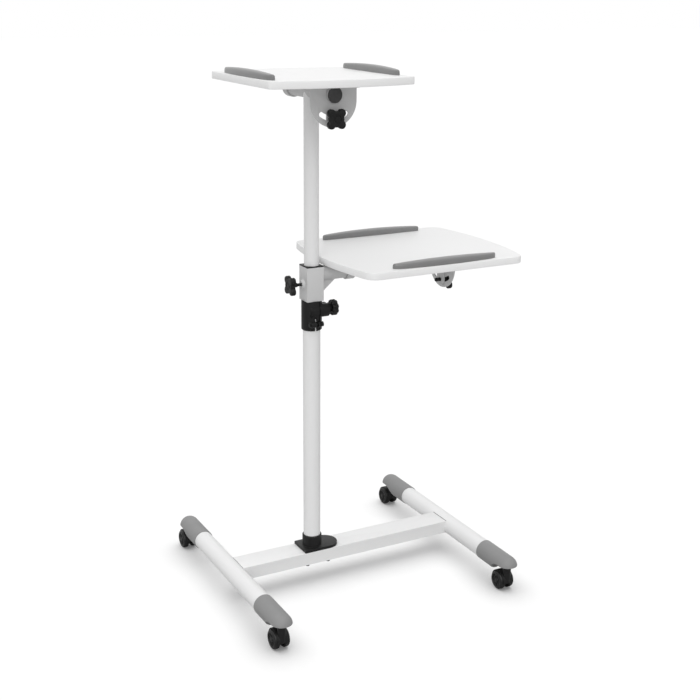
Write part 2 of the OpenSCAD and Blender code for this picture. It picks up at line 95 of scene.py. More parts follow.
studio = {
    "ambient": 0.42,
    "floorColour": 0.9,
    "bounceColour": 0.62,       # the floor's tone for light that it throws back on the trolley
    "floorLift": 0.1,
    "floorSize": 60.0,
    "floorSun": 1.95,
    "upperSun": 1.2,
    "sunAngle": 86,
    "sunFrom": (0.03, 0.2, 1.0),
    "fillStrength": 1.2,
    "fillAngle": 55,
    "fillFrom": (-0.6, -0.95, 0.9),
}


def makeRoom(s):
    scene = bpy.context.scene
    scene.view_settings.view_transform = "Standard"
    world = bpy.data.worlds.new("paleRoom")
    scene.world = world
    world.use_nodes = True
    net = world.node_tree
    sky = net.nodes["Background"]
    sky.inputs["Color"].default_value = (1, 1, 1, 1)
    rays = net.nodes.new("ShaderNodeLightPath")
    seen = [rays.outputs[k] for k in ("Is Camera Ray", "Is Glossy Ray", "Is Transmission Ray")]
    most = seen[0]
    for other in seen[1:]:
        pick = net.nodes.new("ShaderNodeMath")
        pick.operation = "MAXIMUM"
        net.links.new(most, pick.inputs[0])
        net.links.new(other, pick.inputs[1])
        most = pick.outputs[0]
    level = net.nodes.new("ShaderNodeMapRange")
    level.inputs["To Min"].default_value = s["ambient"]
    level.inputs["To Max"].default_value = 1.0
    net.links.new(most, level.inputs["Value"])
    net.links.new(level.outputs["Result"], sky.inputs["Strength"])


def greyTone(value):
    return (value, value, value, 1)


# matt floor, lifted a little for the camera alone, so that it is white and keeps the soft shadow
def makeFloor(s):
    half = s["floorSize"] / 2
    mesh = bpy.data.meshes.new("floor")
    corners = [(-half, -half, 0), (half, -half, 0), (half, half, 0), (-half, half, 0)]
    mesh.from_pydata(corners, [], [(0, 1, 2, 3)])
    floor = bpy.data.objects.new("floor", mesh)
    bpy.context.scene.collection.objects.link(floor)
    paint = bpy.data.materials.new("floorPaint")
    paint.use_nodes = True
    net = paint.node_tree
    net.nodes.remove(net.nodes["Principled BSDF"])
    matt = net.nodes.new("ShaderNodeBsdfDiffuse")
    glow = net.nodes.new("ShaderNodeEmission")
    rays = net.nodes.new("ShaderNodeLightPath")
    lift = net.nodes.new("ShaderNodeMath")
    lift.operation = "MULTIPLY"
    lift.inputs[1].default_value = s["floorLift"]
    net.links.new(rays.outputs["Is Camera Ray"], lift.inputs[0])
    tone = net.nodes.new("ShaderNodeMix")        # bounce tone first, camera's tone second
    tone.data_type = "RGBA"
    tone.inputs[6].default_value = greyTone(s["bounceColour"])
    tone.inputs[7].default_value = greyTone(s["floorColour"])
    net.links.new(rays.outputs["Is Camera Ray"], tone.inputs[0])
    net.links.new(tone.outputs[2], matt.inputs["Color"])
    net.links.new(lift.outputs[0], glow.inputs["Strength"])
    both = net.nodes.new("ShaderNodeAddShader")
    net.links.new(matt.outputs[0], both.inputs[0])
    net.links.new(glow.outputs[0], both.inputs[1])
    net.links.new(both.outputs[0], net.nodes["Material Output"].inputs["Surface"])
    mesh.materials.append(paint)
    return floor


makeRoom(studio)
floor = makeFloor(studio)
print("camera, room and floor made")


def newGroup(name, inputs, outputs):
    tree = bpy.data.node_groups.new(name, "ShaderNodeTree")
    for label, kind, value in inputs:
        made = tree.interface.new_socket(name=label, in_out="INPUT", socket_type=kind)
        if value is not None:
            made.default_value = value
    for label, kind in outputs:
        tree.interface.new_socket(name=label, in_out="OUTPUT", socket_type=kind)
    return tree, tree.nodes.new("NodeGroupInput"), tree.nodes.new("NodeGroupOutput")


def noiseNode(tree, vector, scale, detail=2.0):
    made = tree.nodes.new("ShaderNodeTexNoise")
    made.inputs["Detail"].default_value = detail
    tree.links.new(vector, made.inputs["Vector"])
    if isinstance(scale, (int, float)):
        made.inputs["Scale"].default_value = scale
    else:
        tree.links.new(scale, made.inputs["Scale"])
    return made.outputs["Fac"]


def mathNode(tree, operation, *values):
    made = tree.nodes.new("ShaderNodeMath")
    made.operation = operation
    for place, value in enumerate(values):
        if isinstance(value, (int, float)):
            made.inputs[place].default_value = value
        else:
            tree.links.new(value, made.inputs[place])
    return made.outputs[0]


def rangeNode(tree, value, low, high, start=0.0, stop=1.0):
    made = tree.nodes.new("ShaderNodeMapRange")
    made.inputs["From Min"].default_value, made.inputs["From Max"].default_value = low, high
    made.inputs["To Min"].default_value, made.inputs["To Max"].default_value = start, stop
    tree.links.new(value, made.inputs["Value"])
    return made.outputs["Result"]


def mixNode(tree, share, first, second):
    made = tree.nodes.new("ShaderNodeMix")
    made.data_type = "RGBA"
    for place, value in ((0, share), (6, first), (7, second)):
        if isinstance(value, (tuple, float)):
            made.inputs[place].default_value = value
        else:
            tree.links.new(value, made.inputs[place])
    return made.outputs[2]


patterns = {
    "cloudLow": 0.42, "cloudHigh": 0.75,        # noise levels between which the tone shifts
    "fineScale": 2.7, "fineShare": 0.5, "glossScale": 9.0,
    "rubScale": 38.0, "rubLow": 0.4, "rubHigh": 0.62, "rubbedGloss": 0.7,
    "dustScale": 90.0, "dustLow": 0.35, "dustHigh": 0.7, "dustDull": 0.8,
    "steepest": 0.35, "flattest": 0.95,         # dust lies between these slopes, 1 being level
}


# slow shifts of tone, as paint and plastic have from batch and handling
def makeToneGroup(p):
    tree, start, end = newGroup("toneShift",
        [("Vector", "NodeSocketVector", None), ("Colour", "NodeSocketColor", (0.8, 0.8, 0.8, 1)),
         ("Marked Colour", "NodeSocketColor", (0.7, 0.7, 0.7, 1)), ("Scale", "NodeSocketFloat", 6.0),
         ("Amount", "NodeSocketFloat", 0.3)],
        [("Colour", "NodeSocketColor")])
    cloud = noiseNode(tree, start.outputs["Vector"], start.outputs["Scale"], 4.0)
    shifted = rangeNode(tree, cloud, p["cloudLow"], p["cloudHigh"])
    share = mathNode(tree, "MULTIPLY", shifted, start.outputs["Amount"])
    mixed = mixNode(tree, share, start.outputs["Colour"], start.outputs["Marked Colour"])
    tree.links.new(mixed, end.inputs["Colour"])
    return tree


# pebbled skin: the flow of powder paint, or the grain of moulded plastic
def makeGrainGroup(p):
    tree, start, end = newGroup("fineGrain",
        [("Vector", "NodeSocketVector", None), ("Scale", "NodeSocketFloat", 400.0),
         ("Base Roughness", "NodeSocketFloat", 0.4), ("Roughness Spread", "NodeSocketFloat", 0.1)],
        [("Height", "NodeSocketFloat"), ("Roughness", "NodeSocketFloat")])
    where = start.outputs["Vector"]
    coarse = noiseNode(tree, where, start.outputs["Scale"], 1.0)
    fine = noiseNode(tree, where, mathNode(tree, "MULTIPLY", start.outputs["Scale"], p["fineScale"]), 2.0)
    height = mathNode(tree, "ADD", coarse, mathNode(tree, "MULTIPLY", fine, p["fineShare"]))
    wide = noiseNode(tree, where, p["glossScale"], 3.0)
    centred = mathNode(tree, "SUBTRACT", wide, 0.5)
    swing = mathNode(tree, "MULTIPLY", centred, start.outputs["Roughness Spread"])
    roughness = mathNode(tree, "ADD", start.outputs["Base Roughness"], swing)
    tree.links.new(height, end.inputs["Height"])
    tree.links.new(roughness, end.inputs["Roughness"])
    return tree


# rounded edges catch hands first: they are rubbed in patches, paler and smoother
def makeRubGroup(p):
    tree, start, end = newGroup("rubbedEdge",
        [("Vector", "NodeSocketVector", None), ("Edge", "NodeSocketFloat", 0.0),
         ("Colour", "NodeSocketColor", (0.8, 0.8, 0.8, 1)),
         ("Rubbed Colour", "NodeSocketColor", (0.9, 0.9, 0.9, 1)),
         ("Amount", "NodeSocketFloat", 0.5), ("Roughness", "NodeSocketFloat", 0.5)],
        [("Colour", "NodeSocketColor"), ("Roughness", "NodeSocketFloat")])
    cloud = noiseNode(tree, start.outputs["Vector"], p["rubScale"], 4.0)
    patches = rangeNode(tree, cloud, p["rubLow"], p["rubHigh"])
    onEdge = mathNode(tree, "MULTIPLY", patches, start.outputs["Edge"])
    share = mathNode(tree, "MULTIPLY", onEdge, start.outputs["Amount"])
    mixed = mixNode(tree, share, start.outputs["Colour"], start.outputs["Rubbed Colour"])
    tree.links.new(mixed, end.inputs["Colour"])
    gloss = rangeNode(tree, share, 0.0, 1.0, 1.0, p["rubbedGloss"])
    smoother = mathNode(tree, "MULTIPLY", start.outputs["Roughness"], gloss)
    tree.links.new(smoother, end.inputs["Roughness"])
    return tree


# thin dust that settles on what faces up
def makeDustGroup(p):
    tree, start, end = newGroup("settledDust",
        [("Vector", "NodeSocketVector", None), ("Colour", "NodeSocketColor", (0.1, 0.1, 0.1, 1)),
         ("Dust Colour", "NodeSocketColor", (0.45, 0.44, 0.42, 1)), ("Amount", "NodeSocketFloat", 0.06),
         ("Roughness", "NodeSocketFloat", 0.5)],
        [("Colour", "NodeSocketColor"), ("Roughness", "NodeSocketFloat")])
    facing = tree.nodes.new("ShaderNodeSeparateXYZ")
    tree.links.new(tree.nodes.new("ShaderNodeNewGeometry").outputs["Normal"], facing.inputs["Vector"])
    flat = rangeNode(tree, facing.outputs["Z"], p["steepest"], p["flattest"])
    cloud = noiseNode(tree, start.outputs["Vector"], p["dustScale"], 6.0)
    specks = rangeNode(tree, cloud, p["dustLow"], p["dustHigh"])
    lying = mathNode(tree, "MULTIPLY", flat, specks)
    share = mathNode(tree, "MULTIPLY", lying, start.outputs["Amount"])
    mixed = mixNode(tree, share, start.outputs["Colour"], start.outputs["Dust Colour"])
    tree.links.new(mixed, end.inputs["Colour"])
    duller = mathNode(tree, "MULTIPLY_ADD", share, p["dustDull"], start.outputs["Roughness"])
    tree.links.new(duller, end.inputs["Roughness"])
    return tree


toneShift = makeToneGroup(patterns)
fineGrain = makeGrainGroup(patterns)
rubbedEdge = makeRubGroup(patterns)
settledDust = makeDustGroup(patterns)

finishes = {
    "whitePaint": {"slot": "white_paint", "colour": 0.84, "marked": 0.79,
                   "toneScale": 5, "toneAmount": 0.3,
                   "grain": 420, "bump": 0.1, "depth": 0.0003, "rough": 0.42, "roughSpread": 0.12,
                   "specular": 0.45, "rubbed": 0.9, "rub": 0.3, "dust": 0.0},
    # painted shade: the sleeve has the mast's white paint, darkened here to stand in for the shade under the
    # side board
    "sleeveWhitePaintedShade": {"slot": "white_paint", "colour": 0.62, "marked": 0.57,
                    "toneScale": 8, "toneAmount": 0.3,
                    "grain": 420, "bump": 0.1, "depth": 0.0003, "rough": 0.42, "roughSpread": 0.12,
                    "specular": 0.45, "rubbed": 0.68, "rub": 0.3, "dust": 0.0},
    # the brackets' own light grey paint, darkened further here as painted shade for the shade under the
    # boards
    "bracketGreyAndPaintedShade": {"slot": "bracket_paint", "colour": 0.56, "marked": 0.5,
                     "toneScale": 9, "toneAmount": 0.4,
                     "grain": 520, "bump": 0.16, "depth": 0.0003, "rough": 0.46, "roughSpread": 0.12,
                     "specular": 0.45, "rubbed": 0.72, "rub": 0.5, "dust": 0.0},
    "boardFace": {"slot": "white_board", "colour": 0.85, "marked": 0.82,
                  "toneScale": 4, "toneAmount": 0.35,
                  "grain": 900, "bump": 0.12, "depth": 0.0002, "rough": 0.4, "roughSpread": 0.1,
                  "specular": 0.4, "rubbed": 0.88, "rub": 0.2, "dust": 0.0},
    # edging strip, its colour set above the face's as painted light, to make up for the light that the side
    # faces lack
    "boardEdgeAndPaintedLight": {"slot": "white_board", "colour": 0.92, "marked": 0.88,
                  "toneScale": 12, "toneAmount": 0.35,
                  "grain": 600, "bump": 0.1, "depth": 0.0002, "rough": 0.34, "roughSpread": 0.1,
                  "specular": 0.45, "rubbed": 0.84, "rub": 0.3, "dust": 0.0},
    "greyPlastic": {"slot": "grey_plastic", "colour": 0.27, "marked": 0.235,
                    "toneScale": 14, "toneAmount": 0.45,
                    "grain": 700, "bump": 0.3, "depth": 0.0004, "rough": 0.56, "roughSpread": 0.14,
                    "specular": 0.4, "rubbed": 0.36, "rub": 0.5, "dust": 0.05},
    "stopPlastic": {"slot": "grey_plastic", "colour": 0.19, "marked": 0.165,
                    "toneScale": 14, "toneAmount": 0.45,
                    "grain": 700, "bump": 0.15, "depth": 0.0003, "rough": 0.3, "roughSpread": 0.1,
                    "specular": 0.7, "rubbed": 0.28, "rub": 0.5, "dust": 0.03},
    "blackPlastic": {"slot": "black_plastic", "colour": 0.007, "marked": 0.011,
                     "toneScale": 22, "toneAmount": 0.6,
                     "grain": 800, "bump": 0.35, "depth": 0.0004, "rough": 0.42, "roughSpread": 0.2,
                     "specular": 0.22, "rubbed": 0.03, "rub": 0.7, "dust": 0.02},
    "plugPlastic": {"slot": "black_plastic", "colour": 0.045, "marked": 0.07,
                    "toneScale": 60, "toneAmount": 0.7,
                    "grain": 330, "bump": 0.6, "depth": 0.0006, "rough": 0.6, "roughSpread": 0.2,
                    "specular": 0.35, "rubbed": 0.1, "rub": 0.6, "dust": 0.04},
    "wheelPlastic": {"slot": "wheel_plastic", "colour": 0.008, "marked": 0.014,
                     "toneScale": 30, "toneAmount": 0.6,
                     "grain": 650, "bump": 0.25, "depth": 0.0004, "rough": 0.38, "roughSpread": 0.2,
                     "specular": 0.28, "rubbed": 0.04, "rub": 0.6, "dust": 0.03},
    "boltOxide": {"slot": "screw_steel", "colour": 0.04, "marked": 0.07,
                  "toneScale": 80, "toneAmount": 0.6,
                  "grain": 900, "bump": 0.15, "depth": 0.0002, "rough": 0.4, "roughSpread": 0.2,
                  "specular": 0.35, "rubbed": 0.15, "rub": 0.5, "dust": 0.0},
    "screwSteel": {"slot": "screw_steel", "colour": 0.5, "marked": 0.4,
                   "toneScale": 80, "toneAmount": 0.6,
                   "grain": 900, "bump": 0.15, "depth": 0.0002, "rough": 0.34, "roughSpread": 0.2,
                   "specular": 0.5, "rubbed": 0.7, "rub": 0.5, "dust": 0.0, "metallic": 1.0},
}


def makeFinish(name, f):
    made = bpy.data.materials.new(name)
    made.use_nodes = True
    tree = made.node_tree
    skin = tree.nodes["Principled BSDF"]
    skin.inputs["Specular IOR Level"].default_value = f["specular"]
    skin.inputs["Metallic"].default_value = f.get("metallic", 0.0)
    where = tree.nodes.new("ShaderNodeTexCoord").outputs["Object"]

    def place(group, **values):
        used = tree.nodes.new("ShaderNodeGroup")
        used.node_tree = group
        tree.links.new(where, used.inputs["Vector"])
        for label, value in values.items():
            socket = used.inputs[label.replace("_", " ")]
            if isinstance(value, (int, float, tuple)):
                socket.default_value = value
            else:
                tree.links.new(value, socket)
        return used

    tone = place(toneShift, Colour=greyTone(f["colour"]), Marked_Colour=greyTone(f["marked"]),
                 Scale=f["toneScale"], Amount=f["toneAmount"])
    grain = place(fineGrain, Scale=f["grain"], Base_Roughness=f["rough"], Roughness_Spread=f["roughSpread"])
    edge = tree.nodes.new("ShaderNodeAttribute")
    edge.attribute_name = "edgeBand"
    last = place(rubbedEdge, Edge=edge.outputs["Fac"], Colour=tone.outputs["Colour"],
                 Rubbed_Colour=greyTone(f["rubbed"]), Amount=f["rub"], Roughness=grain.outputs["Roughness"])
    if f["dust"]:
        last = place(settledDust, Colour=last.outputs["Colour"], Amount=f["dust"],
                     Roughness=last.outputs["Roughness"])
    tree.links.new(last.outputs["Colour"], skin.inputs["Base Color"])
    tree.links.new(last.outputs["Roughness"], skin.inputs["Roughness"])
    bump = tree.nodes.new("ShaderNodeBump")
    bump.inputs["Strength"].default_value = f["bump"]
    bump.inputs["Distance"].default_value = f["depth"]
    tree.links.new(grain.outputs["Height"], bump.inputs["Height"])
    tree.links.new(bump.outputs["Normal"], skin.inputs["Normal"])
    return made


finish = {name: makeFinish(name, f) for name, f in finishes.items()}
print("finishes made:", len(finish))


def setFinish(piece, *names):
    piece.data.materials.clear()
    for name in names:
        piece.data.materials.append(finish[name])


def nodeBody(name):
    return frame["nodes"][name]["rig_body"]


def putPiece(piece, body, *replaced):
    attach(piece, body)
    if replaced:
        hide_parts(*replaced)


def newPiece(name, mesh, *finishNames):
    piece = bpy.data.objects.new(name, mesh)
    bpy.context.scene.collection.objects.link(piece)
    if finishNames:
        setFinish(piece, *finishNames)
    return piece


def bakeModifiers(piece):
    graph = bpy.context.evaluated_depsgraph_get()
    mesh = bpy.data.meshes.new_from_object(piece.evaluated_get(graph))
    piece.modifiers.clear()
    piece.data = mesh
    return piece


softCopy = {
    "joined": 2e-6,             # points nearer than this are one
    "flatAngle": 0.6,           # degrees up to which triangles are joined into a face
    "sharpAngle": 40,           # degrees from which an edge is rounded
    "smoothAngle": 32,
}


# a copy of a CAD node: its triangles joined into faces, its sharp edges rounded and marked
def softened(name, width, finishName, segments=3):
    build = bmesh.new()
    build.from_mesh(frame["nodes"][name].data)
    bmesh.ops.remove_doubles(build, verts=build.verts, dist=softCopy["joined"])
    bmesh.ops.dissolve_limit(build, angle_limit=math.radians(softCopy["flatAngle"]),
                             verts=build.verts, edges=build.edges)
    build.verts.index_update()
    mesh = bpy.data.meshes.new(name + ".soft")
    mesh.from_pydata([v.co[:] for v in build.verts], [], [[v.index for v in f.verts] for f in build.faces])
    build.free()
    piece = newPiece(name + ".soft", mesh, finishName, finishName)
    rounding = piece.modifiers.new("roundEdges", "BEVEL")
    rounding.width, rounding.segments, rounding.limit_method = width, segments, "ANGLE"
    rounding.angle_limit = math.radians(softCopy["sharpAngle"])
    rounding.use_clamp_overlap = True
    rounding.material = 1
    bakeModifiers(piece)
    band = piece.data.attributes.new("edgeBand", "FLOAT", "FACE")
    band.data.foreach_set("value", [float(f.material_index) for f in piece.data.polygons])
    piece.data.polygons.foreach_set("material_index", [0] * len(piece.data.polygons))
    setFinish(piece, finishName)
    piece.data.shade_smooth()
    piece.data.set_sharp_from_angle(angle=math.radians(softCopy["smoothAngle"]))
    return piece


# joins rings of points into a skin; a ring of one point closes an end
def skinRings(build, rings, slot=0):
    made = [[build.verts.new(p) for p in ring] for ring in rings]
    for first, second in zip(made, made[1:]):
        for i in range(max(len(first), len(second))):
            corners = [first[i % len(first)], first[(i + 1) % len(first)],
                       second[(i + 1) % len(second)], second[i % len(second)]]
            face = build.faces.new(list(dict.fromkeys(corners)))
            face.material_index = slot


def meshFrom(name, build, smoothAngle=40):
    bmesh.ops.remove_doubles(build, verts=build.verts, dist=1e-7)
    bmesh.ops.recalc_face_normals(build, faces=build.faces)
    mesh = bpy.data.meshes.new(name)
    build.to_mesh(mesh)
    build.free()
    mesh.shade_smooth()
    mesh.set_sharp_from_angle(angle=math.radians(smoothAngle))
    return mesh


keptNodes = {
    "left_foot_tube": "whitePaint", "right_foot_tube": "whitePaint", "lower_column": "whitePaint",
    "mast": "whitePaint", "top_pivot_tube": "bracketGreyAndPaintedShade", "side_arm": "bracketGreyAndPaintedShade",
    "mast_bush": "blackPlastic", "sleeve_liner": "blackPlastic", "clamp_screw": "blackPlastic",
}

# finish and edge radius
softNodes = {
    "crossbar": ("whitePaint", 0.002),
    "top_lug": ("bracketGreyAndPaintedShade", 0.0006), "side_lug": ("bracketGreyAndPaintedShade", 0.0006),
    "top_bracket": ("bracketGreyAndPaintedShade", 0.0007), "side_bracket": ("bracketGreyAndPaintedShade", 0.0007),
    "top_saddle": ("bracketGreyAndPaintedShade", 0.0007), "side_saddle": ("bracketGreyAndPaintedShade", 0.0007),
    "column_flange": ("blackPlastic", 0.0012), "column_clamp": ("blackPlastic", 0.001),
    "sleeve_bush": ("blackPlastic", 0.0006),
    "top_tube_plugs": ("plugPlastic", 0.0008), "arm_plug": ("plugPlastic", 0.0008),
    "front_left_cap": ("greyPlastic", 0.0012), "front_right_cap": ("greyPlastic", 0.0012),
    "back_left_cap": ("greyPlastic", 0.0012), "back_right_cap": ("greyPlastic", 0.0012),
    "front_left_caster": ("blackPlastic", 0.001), "front_right_caster": ("blackPlastic", 0.001),
    "back_left_caster": ("blackPlastic", 0.001), "back_right_caster": ("blackPlastic", 0.001),
    "sleeve": ("sleeveWhitePaintedShade", 0.0012),
}

for name, finishName in keptNodes.items():
    setFinish(frame["nodes"][name], finishName)
for name, (finishName, width) in softNodes.items():
    putPiece(softened(name, width, finishName), nodeBody(name), name)
print("tubes, sheet parts and mouldings dressed")


gapShadeSizes = {"length": 0.068, "width": 0.0016, "height": 0.0007, "sunk": 0.0001, "steps": 6}


# painted shade: a black strip where the crossbar's top runs against a foot tube, standing for the shadow in
# the gap between them
def makeGapShade(s):
    low, high = (Vector(v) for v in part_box("crossbar"))
    top = high.z
    build = bmesh.new()
    for side, tubeName in ((-1, "left_foot_tube"), (1, "right_foot_tube")):
        tubeLow, tubeHigh = (Vector(v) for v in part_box(tubeName))
        axis = (tubeLow + tubeHigh) / 2
        radius = (tubeHigh.z - tubeLow.z) / 2
        meet = axis.x - side * math.sqrt(radius ** 2 - (top - axis.z) ** 2)
        ring = []
        for k in range(s["steps"] + 1):
            a = math.pi * k / s["steps"]
            rise = top - s["sunk"] + s["height"] * math.sin(a)
            ring.append(Vector((meet + s["width"] / 2 * math.cos(a), 0, rise)))
        middle = (low.y + high.y) / 2
        ends = [[p + Vector((0, middle + e * s["length"] / 2, 0)) for p in ring] for e in (-1, 1)]
        caps = [[sum(end, Vector()) / len(end)] for end in ends]
        skinRings(build, [caps[0]] + ends + [caps[1]])
    piece = newPiece("crossbar.gapShade", meshFrom("crossbar.gapShade", build), "blackPlastic")
    putPiece(piece, nodeBody("crossbar"))


makeGapShade(gapShadeSizes)

board = {"edgeRound": 0.0015, "roundSteps": 3, "faceTilt": 0.7}     # faces steeper than the tilt are edging


# laminate on both faces, edging strip all round, the edging's colour set lighter than the face's as painted
# light on the side faces
def makeBoard(name, b):
    piece = softened(name, b["edgeRound"], "boardFace", b["roundSteps"])
    setFinish(piece, "boardFace", "boardEdgeAndPaintedLight")
    for face in piece.data.polygons:
        face.material_index = 0 if abs(face.normal.z) > b["faceTilt"] else 1
    putPiece(piece, nodeBody(name), name)


makeBoard("top_shelf", board)
makeBoard("side_shelf", board)
print("boards made")


stopSizes = {
    "outerBow": 0.009,
    "innerBow": 0.0015,
    "endHeight": 0.72,     # share of the height left at the ends
    "tipRound": 0.032,     # length over which the outline rounds off
    "tipFall": 0.005,      # length over which the crest drops to the board
    "tipPower": 2.4,       # higher is blunter
    "tipFlat": 0.0004,     # keeps the very tip from closing to a point
    "tipHeight": 0.6,      # share of the crest left at the very tip
    "outerTip": 0.7,       # share of the width that rounds off on the outer side
    "crown": 3.2,          # higher is squarer
    "steps": 60,
    "acrossSteps": 16,
}


# a lens in plan: outer edge bowed more than the inner one, crest highest in the middle
def makeStop(name, outward, s):
    low, high = (Vector(v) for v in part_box(name))
    outward = Vector(outward)
    along = Vector((-outward.y, outward.x, 0))
    size = high - low
    width = abs(size.dot(outward))
    length = abs(size.dot(along))
    edge = Vector(((low.x + high.x) / 2, (low.y + high.y) / 2, low.z)) + outward * width / 2
    build = bmesh.new()
    rings = []
    for k in range(s["steps"] + 1):
        t = -math.cos(math.pi * k / s["steps"])
        rest = (1 - abs(t)) * length / 2
        tip, fall = (max(1 - (1 - min(rest / reach, 1)) ** s["tipPower"], s["tipFlat"]) ** (1 / s["tipPower"])
                     for reach in (s["tipRound"], s["tipFall"]))
        outer, inner = s["outerBow"] * t * t, width - s["innerBow"] * t * t
        span = inner - outer
        outer += span * (1 - tip) * s["outerTip"]
        inner -= span * (1 - tip) * (1 - s["outerTip"])
        middle, half = (outer + inner) / 2, (inner - outer) / 2
        tall = size.z * (1 - (1 - s["endHeight"]) * t * t) * (s["tipHeight"] + (1 - s["tipHeight"]) * fall)
        ring = []
        for j in range(s["acrossSteps"] + 1):
            side = -math.cos(math.pi * j / s["acrossSteps"])
            crest = tall * (1 - abs(side) ** s["crown"]) ** (1 / s["crown"])
            inward = middle + side * half
            ring.append(edge + along * t * length / 2 - outward * inward + Vector((0, 0, crest)))
        rings.append(ring)
    ends = [[sum(ring, Vector()) / len(ring)] for ring in (rings[0], rings[-1])]
    skinRings(build, [ends[0]] + rings + [ends[1]])
    piece = newPiece(name + ".lens", meshFrom(name + ".lens", build, 50), "stopPlastic")
    putPiece(piece, nodeBody(name), name)


for name, outward in (("top_left_stop", (-1, 0, 0)), ("top_right_stop", (1, 0, 0)),
                      ("side_front_stop", (0, -1, 0)), ("side_back_stop", (0, 1, 0))):
    makeStop(name, outward, stopSizes)
print("stops made")


def softMax(a, b, reach):
    near = max(reach - abs(a - b), 0) / reach
    return max(a, b) + near * near * reach / 4


# four round lobes that run into a round core
def lobedRadius(angle, turn, core, lobe, distance, blend):
    off = (angle - turn + math.pi / 4) % (math.pi / 2) - math.pi / 4
    inside = lobe ** 2 - (distance * math.sin(off)) ** 2
    hit = distance * math.cos(off) + math.sqrt(inside) if inside > 0 else 0
    return softMax(core, hit, blend)


# a round head with hollow flutes cut into its rim
def flutedRadius(angle, radius, count, hollow, distance, blend):
    step = 2 * math.pi / count
    off = (angle + step / 2) % step - step / 2
    inside = hollow ** 2 - (distance * math.sin(off)) ** 2
    hit = distance * math.cos(off) - math.sqrt(inside) if inside > 0 else 2 * radius
    return -softMax(-radius, -hit, blend)


def outlineOf(radiusAt, count=160):
    angles = [2 * math.pi * i / count for i in range(count)]
    flat = [Vector((math.cos(a), math.sin(a))) * radiusAt(a) for a in angles]
    normals = []
    for i in range(count):
        run = flat[(i + 1) % count] - flat[i - 1]
        normals.append(Vector((run.y, -run.x)).normalized())
    return list(zip(flat, normals))


# frame of a knob: its middle, the way it faces and two directions across
def siteOf(place, out):
    out = Vector(out)
    up = Vector((0, 0, 1))
    return {"place": Vector(place), "out": out, "up": up, "across": up.cross(out)}


def shapedRing(site, outline, inset, depth):
    start = site["place"] + site["out"] * depth
    return [start + site["across"] * (p.x - n.x * inset) + site["up"] * (p.y - n.y * inset)
            for p, n in outline]


# one step of a rounded edge: outwards from a back face at 0, or inwards to a front face
def roundedRing(site, outline, radius, share, face):
    a = share * math.pi / 2
    if face:
        return shapedRing(site, outline, radius * (1 - math.cos(a)), face - radius * (1 - math.sin(a)))
    return shapedRing(site, outline, radius * (1 - math.sin(a)), radius * (1 - math.cos(a)))


def roundRing(site, radius, depth, count=160):
    angles = (2 * math.pi * i / count for i in range(count))
    return [site["place"] + site["out"] * depth + site["across"] * math.cos(a) * radius
            + site["up"] * math.sin(a) * radius for a in angles]


def poleOf(site, depth):
    return [site["place"] + site["out"] * depth]


lobedKnob = {
    "thick": 0.013,
    "coreShare": 0.33, "lobeShare": 0.17, "distanceShare": 0.33, "blend": 0.004,
    "backRound": 0.0025, "frontRound": 0.0036,
    "neckFillet": 0.0012,
    "hubRadius": 0.0105, "hubSink": 0.0012, "capRadius": 0.0065,
    "threadDepth": 0.00035, "pitch": 0.0015, "threadLead": 0.001, "threadSides": 32,
}

knobPlaces = {
    "top_knob": {"out": (0, -1, 0), "turn": 45, "diameter": 0.058, "neckRadius": 0.010,
                 "neckLength": 0.0077, "boltRadius": 0.005, "boltEnd": 0.031},
    "side_knob": {"out": (1, 0, 0), "turn": 55, "diameter": 0.058, "neckRadius": 0.010,
                  "neckLength": 0.0077, "boltRadius": 0.005, "boltEnd": 0.031},
    "sleeve_knob": {"out": (-1, 0, 0), "turn": 45, "diameter": 0.057, "neckRadius": 0.0055,
                    "neckLength": 0.012, "boltRadius": 0.004, "boltEnd": 0.034},
}


